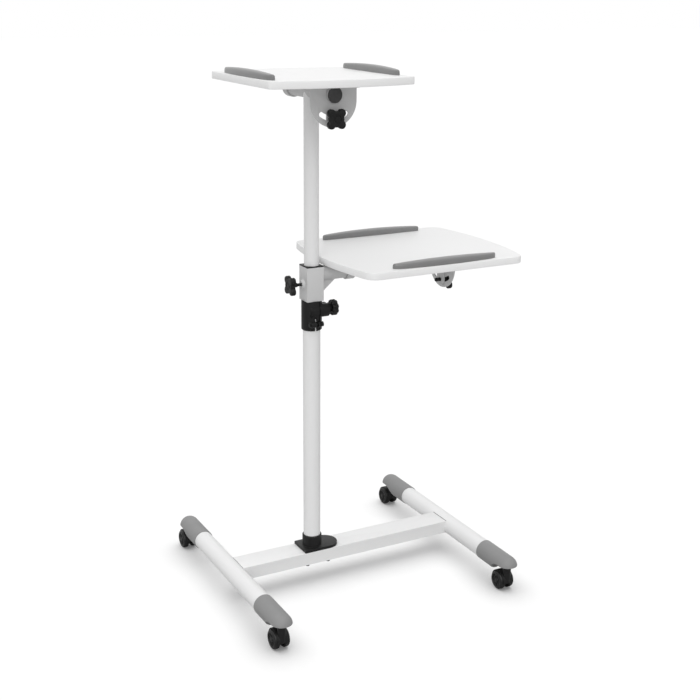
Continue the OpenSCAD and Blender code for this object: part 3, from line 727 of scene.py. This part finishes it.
# depths run from the back of the head, at 0, to its front
def makeLobedKnob(name, own, k):
    low, high = (Vector(v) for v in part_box(name))
    out = Vector(own["out"])
    diameter, neckRadius, neckLength = own["diameter"], own["neckRadius"], own["neckLength"]
    boltRadius, boltEnd, sides = own["boltRadius"], own["boltEnd"], k["threadSides"]
    middle = (low + high) / 2
    front = max(low.dot(out), high.dot(out))
    place = middle + out * (front - k["thick"] - middle.dot(out))
    site = siteOf(place, out)
    rad = math.radians(own["turn"])
    outline = outlineOf(lambda a: lobedRadius(a, rad, k["coreShare"] * diameter, k["lobeShare"] * diameter,
                                              k["distanceShare"] * diameter, k["blend"]))
    t = k["thick"]
    rings = [poleOf(site, -neckLength), roundRing(site, neckRadius * 0.96, -neckLength),
             roundRing(site, neckRadius, -neckLength * 0.94),
             roundRing(site, neckRadius, -k["neckFillet"]),
             roundRing(site, neckRadius + k["neckFillet"], 0)]
    for share in (0.0, 0.35, 0.7, 1.0):
        rings.append(roundedRing(site, outline, k["backRound"], share, 0))
    for share in (0.0, 0.2, 0.4, 0.6, 0.8, 1.0):
        rings.append(roundedRing(site, outline, k["frontRound"], share, t))
    rings += [roundRing(site, k["hubRadius"] + 0.0008, t), roundRing(site, k["hubRadius"], t - 0.0002),
              roundRing(site, k["hubRadius"] - 0.0006, t - k["hubSink"]),
              roundRing(site, k["capRadius"] + 0.0006, t - k["hubSink"]),
              roundRing(site, k["capRadius"], t - k["hubSink"] * 0.3),
              roundRing(site, k["capRadius"] * 0.6, t - k["hubSink"] * 0.1), poleOf(site, t)]
    build = bmesh.new()
    skinRings(build, rings)
    thread = [poleOf(site, -boltEnd), roundRing(site, boltRadius * 0.7, -boltEnd, sides)]
    steps = int((boltEnd - neckLength * 0.5) / k["pitch"])
    for i in range(steps):
        depth = -boltEnd + k["threadLead"] + i * k["pitch"]
        thread.append(roundRing(site, boltRadius, depth, sides))
        thread.append(roundRing(site, boltRadius - k["threadDepth"], depth + k["pitch"] / 2, sides))
    thread.append(poleOf(site, -boltEnd + k["threadLead"] + steps * k["pitch"]))
    skinRings(build, thread, 1)
    piece = newPiece(name + ".lobed", meshFrom(name + ".lobed", build, 36), "blackPlastic", "screwSteel")
    putPiece(piece, nodeBody(name), name)


for name, own in knobPlaces.items():
    makeLobedKnob(name, own, lobedKnob)
print("lobed knobs made")


clampKnob = {
    "radius": 0.0205, "flutes": 8, "hollow": 0.005, "distance": 0.023, "blend": 0.0012,
    "thick": 0.018, "frontRound": 0.0026, "backRound": 0.0045,
    "neckRadius": 0.011, "neckLength": 0.0117, "neckGroove": 0.0007, "grooveShares": (0.3, 0.7),
    "faceRadius": 0.012, "faceRise": 0.0008, "smallRound": 0.0006,
    "boltRadius": 0.004, "boltEnd": 0.0332, "boltLead": 0.001, "boltSides": 32,
    "ringSides": 192,
}


def makeClampKnob(k):
    low, high = (Vector(v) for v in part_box("clamp_knob"))
    site = siteOf((high.x - k["thick"], (low.y + high.y) / 2, (low.z + high.z) / 2), (1, 0, 0))
    t, n, small = k["thick"], k["ringSides"], k["smallRound"]
    neck, neckEnd = k["neckRadius"], -k["neckLength"]
    outline = outlineOf(lambda a: flutedRadius(a, k["radius"], k["flutes"], k["hollow"],
                                               k["distance"], k["blend"]), n)
    rings = [poleOf(site, neckEnd), roundRing(site, neck - small, neckEnd, n),
             roundRing(site, neck, neckEnd + small, n)]
    for share in k["grooveShares"]:
        for step, sunk in ((-1, 0), (-0.5, 1), (0.5, 1), (1, 0)):
            rings.append(roundRing(site, neck - sunk * k["neckGroove"], neckEnd * share + step * small, n))
    rings.append(roundRing(site, neck, 0, n))
    for share in (0.0, 0.5, 1.0):
        rings.append(roundedRing(site, outline, k["backRound"], share, 0))
    for share in (0.0, 0.25, 0.5, 0.75, 1.0):
        rings.append(roundedRing(site, outline, k["frontRound"], share, t - k["faceRise"]))
    rings += [roundRing(site, k["faceRadius"], t - k["faceRise"] * 1.6, n),
              roundRing(site, k["faceRadius"] - small, t - k["faceRise"] * 0.3, n),
              roundRing(site, k["faceRadius"] * 0.5, t, n), poleOf(site, t)]
    build = bmesh.new()
    skinRings(build, rings)
    bolt, boltEnd, sides = k["boltRadius"], -k["boltEnd"], k["boltSides"]
    skinRings(build, [poleOf(site, boltEnd), roundRing(site, bolt * 0.8, boltEnd, sides),
                      roundRing(site, bolt, boltEnd + k["boltLead"], sides),
                      roundRing(site, bolt, neckEnd * 0.5, sides), poleOf(site, neckEnd * 0.5)], 1)
    mesh = meshFrom("clamp_knob.fluted", build, 36)
    piece = newPiece("clamp_knob.fluted", mesh, "blackPlastic", "screwSteel")
    putPiece(piece, nodeBody("clamp_knob"), "clamp_knob")


makeClampKnob(clampKnob)
print("clamp knob made")


# a Geometry Nodes tree with named inputs; gives back the tree, its input node and the sockets' identifiers
def newShapeTree(name, inputs):
    tree = bpy.data.node_groups.new(name, "GeometryNodeTree")
    tree.interface.new_socket(name="Geometry", in_out="INPUT", socket_type="NodeSocketGeometry")
    tree.interface.new_socket(name="Geometry", in_out="OUTPUT", socket_type="NodeSocketGeometry")
    ids = {}
    for label, kind, value in inputs:
        made = tree.interface.new_socket(name=label, in_out="INPUT", socket_type=kind)
        if value is not None:
            made.default_value = value
        ids[label] = made.identifier
    return tree, tree.nodes.new("NodeGroupInput"), ids


def linkAll(tree, *pairs):
    for source, target in pairs:
        tree.links.new(source, target)


def endTree(tree, geometry, finishSocket):
    real = tree.nodes.new("GeometryNodeRealizeInstances")
    dress = tree.nodes.new("GeometryNodeSetMaterial")
    end = tree.nodes.new("NodeGroupOutput")
    linkAll(tree, (geometry, real.inputs[0]), (real.outputs[0], dress.inputs["Geometry"]),
            (finishSocket, dress.inputs["Material"]), (dress.outputs[0], end.inputs[0]))


# the mesh that a tree makes from the given points
def growFrom(tree, ids, points, values):
    seedMesh = bpy.data.meshes.new("growthPoints")
    seedMesh.from_pydata(points, [], [])
    holder = newPiece("growthHolder", seedMesh)
    grown = holder.modifiers.new("grow", "NODES")
    grown.node_group = tree
    for label, value in values.items():
        grown[ids[label]] = value
    bakeModifiers(holder)
    mesh = holder.data
    bpy.data.objects.remove(holder)
    dressed = [m for m in mesh.materials if m]
    mesh.materials.clear()
    mesh.materials.append(dressed[0])
    mesh.polygons.foreach_set("material_index", [0] * len(mesh.polygons))
    return mesh


# cross-recess screws that hang head down at the points
def makeScrewTree():
    tree, start, ids = newShapeTree("screwRow", [
        ("Head Radius", "NodeSocketFloat", 0.0045), ("Head Height", "NodeSocketFloat", 0.0024),
        ("Recess Length", "NodeSocketFloat", 0.005), ("Recess Width", "NodeSocketFloat", 0.0011),
        ("Shank Radius", "NodeSocketFloat", 0.002), ("Shank Length", "NodeSocketFloat", 0.006),
        ("Seed", "NodeSocketInt", 3), ("Material", "NodeSocketMaterial", None)])
    need = start.outputs
    head = tree.nodes.new("GeometryNodeMeshCone")
    head.inputs["Vertices"].default_value = 28
    top = mathNode(tree, "MULTIPLY", need["Head Radius"], 0.74)
    linkAll(tree, (top, head.inputs["Radius Top"]), (need["Head Radius"], head.inputs["Radius Bottom"]),
            (need["Head Height"], head.inputs["Depth"]))
    cuts = []
    for swap in (False, True):
        size = tree.nodes.new("ShaderNodeCombineXYZ")
        linkAll(tree, (need["Recess Length"], size.inputs[1 if swap else 0]),
                (need["Recess Width"], size.inputs[0 if swap else 1]), (need["Head Height"], size.inputs[2]))
        slot = tree.nodes.new("GeometryNodeMeshCube")
        lift = tree.nodes.new("ShaderNodeCombineXYZ")
        moved = tree.nodes.new("GeometryNodeTransform")
        linkAll(tree, (size.outputs[0], slot.inputs["Size"]), (need["Head Height"], lift.inputs[2]),
                (slot.outputs["Mesh"], moved.inputs["Geometry"]),
                (lift.outputs[0], moved.inputs["Translation"]))
        cuts.append(moved.outputs[0])
    carved = head.outputs["Mesh"]
    for cut in cuts:
        less = tree.nodes.new("GeometryNodeMeshBoolean")
        less.operation = "DIFFERENCE"
        linkAll(tree, (carved, less.inputs["Mesh 1"]), (cut, less.inputs["Mesh 2"]))
        carved = less.outputs["Mesh"]
    shank = tree.nodes.new("GeometryNodeMeshCylinder")
    shank.inputs["Vertices"].default_value = 16
    sunk = tree.nodes.new("ShaderNodeCombineXYZ")
    shankPlace = tree.nodes.new("GeometryNodeTransform")
    linkAll(tree, (need["Shank Radius"], shank.inputs["Radius"]),
            (need["Shank Length"], shank.inputs["Depth"]),
            (mathNode(tree, "MULTIPLY", need["Shank Length"], -0.5), sunk.inputs[2]),
            (shank.outputs["Mesh"], shankPlace.inputs["Geometry"]),
            (sunk.outputs[0], shankPlace.inputs["Translation"]))
    whole = tree.nodes.new("GeometryNodeJoinGeometry")
    linkAll(tree, (carved, whole.inputs[0]), (shankPlace.outputs[0], whole.inputs[0]))
    turn = tree.nodes.new("FunctionNodeRandomValue")
    turn.data_type = "FLOAT"
    turn.inputs[3].default_value = 6.283        # up to a full turn
    angles = tree.nodes.new("ShaderNodeCombineXYZ")
    angles.inputs[0].default_value = math.pi
    spread = tree.nodes.new("GeometryNodeInstanceOnPoints")
    linkAll(tree, (need["Seed"], turn.inputs["Seed"]), (turn.outputs[1], angles.inputs[2]),
            (need["Geometry"], spread.inputs["Points"]), (whole.outputs[0], spread.inputs["Instance"]),
            (angles.outputs[0], spread.inputs["Rotation"]))
    endTree(tree, spread.outputs[0], need["Material"])
    return tree, ids


# flat ribs that stand round an axis, as on the inside of a wheel's face
def makeRibTree():
    tree, start, ids = newShapeTree("ringOfRibs", [
        ("Count", "NodeSocketInt", 8), ("Inner Radius", "NodeSocketFloat", 0.006),
        ("Outer Radius", "NodeSocketFloat", 0.016), ("Thickness", "NodeSocketFloat", 0.0014),
        ("Height", "NodeSocketFloat", 0.002), ("Material", "NodeSocketMaterial", None)])
    need = start.outputs
    ring = tree.nodes.new("GeometryNodeMeshCircle")
    reach = mathNode(tree, "SUBTRACT", need["Outer Radius"], need["Inner Radius"])
    both = mathNode(tree, "ADD", need["Outer Radius"], need["Inner Radius"])
    middle = mathNode(tree, "MULTIPLY", both, 0.5)
    size = tree.nodes.new("ShaderNodeCombineXYZ")
    rib = tree.nodes.new("GeometryNodeMeshCube")
    spread = tree.nodes.new("GeometryNodeInstanceOnPoints")
    where = tree.nodes.new("GeometryNodeInputPosition")
    aim = tree.nodes.new("FunctionNodeAlignEulerToVector")
    aim.axis = "X"
    aim.pivot_axis = "Z"
    linkAll(tree, (need["Count"], ring.inputs["Vertices"]), (middle, ring.inputs["Radius"]),
            (reach, size.inputs[0]), (need["Thickness"], size.inputs[1]), (need["Height"], size.inputs[2]),
            (size.outputs[0], rib.inputs["Size"]), (ring.outputs[0], spread.inputs["Points"]),
            (rib.outputs["Mesh"], spread.inputs["Instance"]), (where.outputs[0], aim.inputs["Vector"]),
            (aim.outputs[0], spread.inputs["Rotation"]))
    endTree(tree, spread.outputs[0], need["Material"])
    return tree, ids


screwTree, screwIds = makeScrewTree()
ribTree, ribIds = makeRibTree()

flangeScrews = {
    "pitchX": 0.031, "pitchY": 0.023, "headRadius": 0.007, "headHeight": 0.0068, "seat": 0.0049,
    "recessLength": 0.0084, "recessWidth": 0.0018, "shankRadius": 0.0034, "shankShort": 0.0002, "seed": 5,
}


# the column is held by four screws that come up through the crossbar
def makeFlangeScrews(s):
    low, high = (Vector(v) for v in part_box("flange_screws"))
    seat = low.z + s["seat"]
    middle = (low + high) / 2
    points = [(middle.x + sx * s["pitchX"], middle.y + sy * s["pitchY"], seat)
              for sx in (-1, 1) for sy in (-1, 1)]
    mesh = growFrom(screwTree, screwIds, points, {
        "Head Radius": s["headRadius"], "Head Height": s["headHeight"],
        "Recess Length": s["recessLength"], "Recess Width": s["recessWidth"],
        "Shank Radius": s["shankRadius"], "Shank Length": high.z - seat - s["shankShort"],
        "Seed": s["seed"], "Material": finish["boltOxide"]})
    piece = newPiece("flange_screws.cross", mesh)
    putPiece(piece, nodeBody("flange_screws"), "flange_screws")


makeFlangeScrews(flangeScrews)

footScrews = {
    "bracketReach": 0.056, "bracketShift": 0.0015, "saddleReach": 0.0265, "sheet": 0.003, "sunk": 0.0001,
    "headRadius": 0.0042, "headHeight": 0.0022, "recessLength": 0.005, "recessWidth": 0.001,
    "shankRadius": 0.002, "shankLength": 0.006, "seed": 8,
}


# screws that hold the bracket and saddle feet to the underside of a board
def makeFootScrews(boardName, bracketName, saddleName, s):
    bLow, bHigh = (Vector(v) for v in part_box(bracketName))
    sLow, sHigh = (Vector(v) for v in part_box(saddleName))
    under = bHigh.z - s["sheet"]
    bMid, sMid = (bLow + bHigh) / 2, (sLow + sHigh) / 2
    alongY = (bHigh - bLow).x > (bHigh - bLow).y       # the pivot runs along Y
    inward = 1 if (sMid - bMid).dot(Vector((0, 1, 0) if alongY else (1, 0, 0))) > 0 else -1
    points = []
    for side in (-1, 1):
        for mid, reach, shift in ((bMid, s["bracketReach"], s["bracketShift"]), (sMid, s["saddleReach"], 0)):
            offset = Vector((side * reach, inward * shift, 0))
            if not alongY:
                offset = Vector((inward * shift, side * reach, 0))
            points.append((mid.x + offset.x, mid.y + offset.y, under - s["sunk"]))
    mesh = growFrom(screwTree, screwIds, points, {
        "Head Radius": s["headRadius"], "Head Height": s["headHeight"],
        "Recess Length": s["recessLength"], "Recess Width": s["recessWidth"],
        "Shank Radius": s["shankRadius"], "Shank Length": s["shankLength"],
        "Seed": s["seed"], "Material": finish["screwSteel"]})
    piece = newPiece(boardName + ".screws", mesh)
    putPiece(piece, nodeBody(boardName))


makeFootScrews("top_shelf", "top_bracket", "top_saddle", footScrews)
makeFootScrews("side_shelf", "side_bracket", "side_saddle", footScrews)
print("screws made")


wheel = {
    "gap": 0.0062,              # from the middle of the caster to a wheel's inner face
    # radius and distance from the inner face
    "profile": ((0.0, 0.0), (0.0215, 0.0), (0.0237, 0.0005), (0.0247, 0.0017), (0.025, 0.0035),
                (0.025, 0.0085), (0.0246, 0.0107), (0.0236, 0.0127), (0.0222, 0.0140), (0.0203, 0.0148),
                (0.0182, 0.0150), (0.0172, 0.0146), (0.0166, 0.0136), (0.0162, 0.0124), (0.0070, 0.0122),
                (0.0064, 0.0128), (0.0060, 0.0142), (0.0050, 0.0147), (0.0, 0.0148)),
    "ribs": 8, "ribInner": 0.0062, "ribOuter": 0.0167,
    "ribThick": 0.0013, "ribHeight": 0.0016, "ribPlace": 0.0128,
    "axleRadius": 0.003, "axleOverlap": 0.001,
}


# two barrel-shaped wheels on one axle, with a ribbed face under a rounded rim
def makeWheels(name, w):
    low, high = (Vector(v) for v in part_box(name))
    middle = (low + high) / 2
    ribMesh = growFrom(ribTree, ribIds, [(0, 0, 0)], {
        "Count": w["ribs"], "Inner Radius": w["ribInner"], "Outer Radius": w["ribOuter"],
        "Thickness": w["ribThick"], "Height": w["ribHeight"], "Material": finish["wheelPlastic"]})
    build = bmesh.new()
    for face in (-1, 1):
        site = siteOf(middle + Vector((face * w["gap"], 0, 0)), (face, 0, 0))
        rings = [poleOf(site, x) if r == 0 else roundRing(site, r, x, 72) for r, x in w["profile"]]
        skinRings(build, rings)
        turned = Matrix((site["across"], site["up"], site["out"])).transposed().to_4x4()
        turned.translation = site["place"] + site["out"] * w["ribPlace"]
        ribs = ribMesh.copy()
        ribs.transform(turned)
        build.from_mesh(ribs)
    site = siteOf(middle - Vector((w["gap"] + w["axleOverlap"], 0, 0)), (1, 0, 0))
    span = 2 * (w["gap"] + w["axleOverlap"])
    skinRings(build, [poleOf(site, 0), roundRing(site, w["axleRadius"], 0, 32),
                      roundRing(site, w["axleRadius"], span, 32), poleOf(site, span)])
    piece = newPiece(name + ".barrel", meshFrom(name + ".barrel", build, 36), "wheelPlastic")
    putPiece(piece, nodeBody(name), name)


for end in ("front", "back"):
    for side in ("left", "right"):
        makeWheels(end + "_" + side + "_wheels", wheel)
print("wheels made")


# a wide sun overhead for the trolley, one for the floor, and a soft fill from front left;
# the floor keeps the shadow of the base alone
def makeLight(s):
    scene = bpy.context.scene
    sets = {name: bpy.data.collections.new(name) for name in ("floorSet", "baseSet", "trolleySet")}
    sets["floorSet"].objects.link(floor)
    baseBodies = {nodeBody(n) for n in frame["nodes"]
                  if n == "crossbar" or n.endswith(("_caster", "_wheels"))}
    columnPieces = {"lower_column", "column_clamp", "column_clamp.soft", "clamp_screw"}
    for piece in scene.objects:
        if piece.type == "MESH" and "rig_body" in piece:
            sets["trolleySet"].objects.link(piece)
            if piece["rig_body"] in baseBodies and piece.name not in columnPieces:
                sets["baseSet"].objects.link(piece)
    for name, strength, angle, source, lit, blockers in (
            ("floorSun", s["floorSun"], s["sunAngle"], s["sunFrom"], "floorSet", "baseSet"),
            ("upperSun", s["upperSun"], s["sunAngle"], s["sunFrom"], "trolleySet", "trolleySet"),
            ("frontFill", s["fillStrength"], s["fillAngle"], s["fillFrom"], "trolleySet", "trolleySet")):
        lamp = bpy.data.lights.new(name, "SUN")
        lamp.energy, lamp.angle = strength, math.radians(angle)
        holder = bpy.data.objects.new(name, lamp)
        scene.collection.objects.link(holder)
        holder.rotation_euler = Vector(source).to_track_quat("Z", "Y").to_euler()
        holder.light_linking.receiver_collection = sets[lit]
        holder.light_linking.blocker_collection = sets[blockers]


makeLight(studio)
print("lights made")
